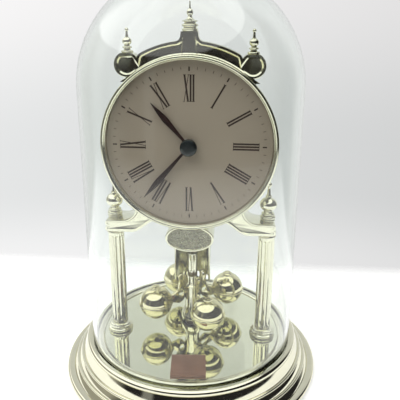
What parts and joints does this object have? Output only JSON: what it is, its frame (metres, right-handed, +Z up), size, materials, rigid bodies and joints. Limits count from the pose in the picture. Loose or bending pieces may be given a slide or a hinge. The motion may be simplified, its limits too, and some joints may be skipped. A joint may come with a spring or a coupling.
{
  "type": "anniversary clock",
  "caption": "Glass-domed anniversary clock with a stepped round base, fluted columns, a round Roman dial and a turning ball pendulum.",
  "frame": {"origin": "centre of the base's underside, on the surface the clock stands on", "axes": "+Z up, the dial faces -Y, +X to the viewer's right"},
  "size_m": [0.1524, 0.1524, 0.2281],
  "materials": {
    "gilt_brass": "polished plating",
    "satin_gilt": "satin plating",
    "mirror_plate": "polished",
    "aged_brass": "dull",
    "copper_plate": "brushed",
    "dial_cream": "matt",
    "hand_black": "satin",
    "dome_glass": "clear",
    "felt": "felt",
    "steel": "plain",
    "ballast_iron": "rough",
    "black_plastic": "fine grain",
    "white_plastic": "moulded",
    "board_green": "lacquered",
    "copper_wire": "enamelled wire",
    "battery_jacket": "plain jacket"
  },
  "bodies": {
    "stand": {"felt_pad": "felt", "bottom_plate": "steel", "ballast_disc": "ballast_iron", "base_moulding": "gilt_brass", "mirror_plate": "mirror_plate", "presentation_plate": "copper_plate", "guide_cup": "aged_brass", "column_left": "gilt_brass", "column_right": "gilt_brass", "column_foot_left": "gilt_brass", "column_foot_right": "gilt_brass", "column_cap_left": "gilt_brass", "column_cap_right": "gilt_brass", "column_rod_left": "steel", "column_rod_right": "steel", "rod_washers": "steel", "rod_nuts": "steel", "column_finial_left": "gilt_brass", "column_finial_right": "gilt_brass", "frame_casting": "gilt_brass", "ear_finial_left": "gilt_brass", "ear_finial_right": "gilt_brass", "top_finial": "gilt_brass", "bezel": "gilt_brass", "dial": "dial_cream", "plaque_insert": "satin_gilt", "movement_drum": "gilt_brass", "back_cover": "black_plastic", "back_cover_screws": "steel", "suspension_trough": "satin_gilt", "movement_case": "black_plastic", "movement_lid": "black_plastic", "dial_nut": "steel", "circuit_board": "board_green", "drive_coil": "copper_wire", "stator": "steel", "contact_positive": "steel", "contact_negative": "steel", "hanger_housing": "black_plastic", "pendulum_coil": "copper_wire"},
    "dome": {"glass_dome": "dome_glass"},
    "pendulum": {"pendulum_hanger": "aged_brass", "pendulum_tube": "gilt_brass", "pendulum_collar": "aged_brass", "pendulum_bell": "gilt_brass", "pendulum_scrolls": "gilt_brass", "ball_front_left": "gilt_brass", "ball_front_right": "gilt_brass", "ball_back_right": "gilt_brass", "ball_back_left": "gilt_brass"},
    "minute_shaft": {"minute_arbor": "aged_brass", "minute_hand": "hand_black", "hand_cap": "hand_black"},
    "hour_pipe": {"hour_wheel": "white_plastic", "hour_hand": "hand_black"},
    "time_setting": {"minute_wheel": "white_plastic", "setting_knob": "black_plastic"},
    "rotor": {"stepping_rotor": "steel"},
    "cell": {"battery": "battery_jacket"}
  },
  "joints": [
    {"name": "dome_lift", "type": "slide", "parent": "stand", "child": "dome", "axis": [0, 0, 1], "range_m": [0, 0.2]},
    {"name": "pendulum_turn", "type": "hinge", "parent": "stand", "child": "pendulum", "pos_m": [0, 0.0088, 0.0385], "axis": [0, 0, 1], "range_deg": [-180, 180]},
    {"name": "minute_turn", "type": "hinge", "parent": "stand", "child": "minute_shaft", "pos_m": [0, -0.012, 0.1397], "axis": [0, 1, 0], "continuous": true},
    {"name": "hour_turn", "type": "hinge", "parent": "stand", "child": "hour_pipe", "pos_m": [0, -0.012, 0.1397], "axis": [0, 1, 0], "continuous": true},
    {"name": "setting_turn", "type": "hinge", "parent": "stand", "child": "time_setting", "pos_m": [0.008, 0, 0.1397], "axis": [0, 1, 0], "continuous": true},
    {"name": "rotor_spin", "type": "hinge", "parent": "stand", "child": "rotor", "pos_m": [-0.014, 0, 0.1487], "axis": [0, 1, 0], "continuous": true},
    {"name": "cell_pull", "type": "slide", "parent": "stand", "child": "cell", "axis": [0, 1, 0], "range_m": [0, 0.034]}
  ],
  "couplings": [
    {"joint": "hour_turn", "follows": "minute_turn", "ratio": 0.083333},
    {"joint": "setting_turn", "follows": "minute_turn", "ratio": -0.33333}
  ]
}
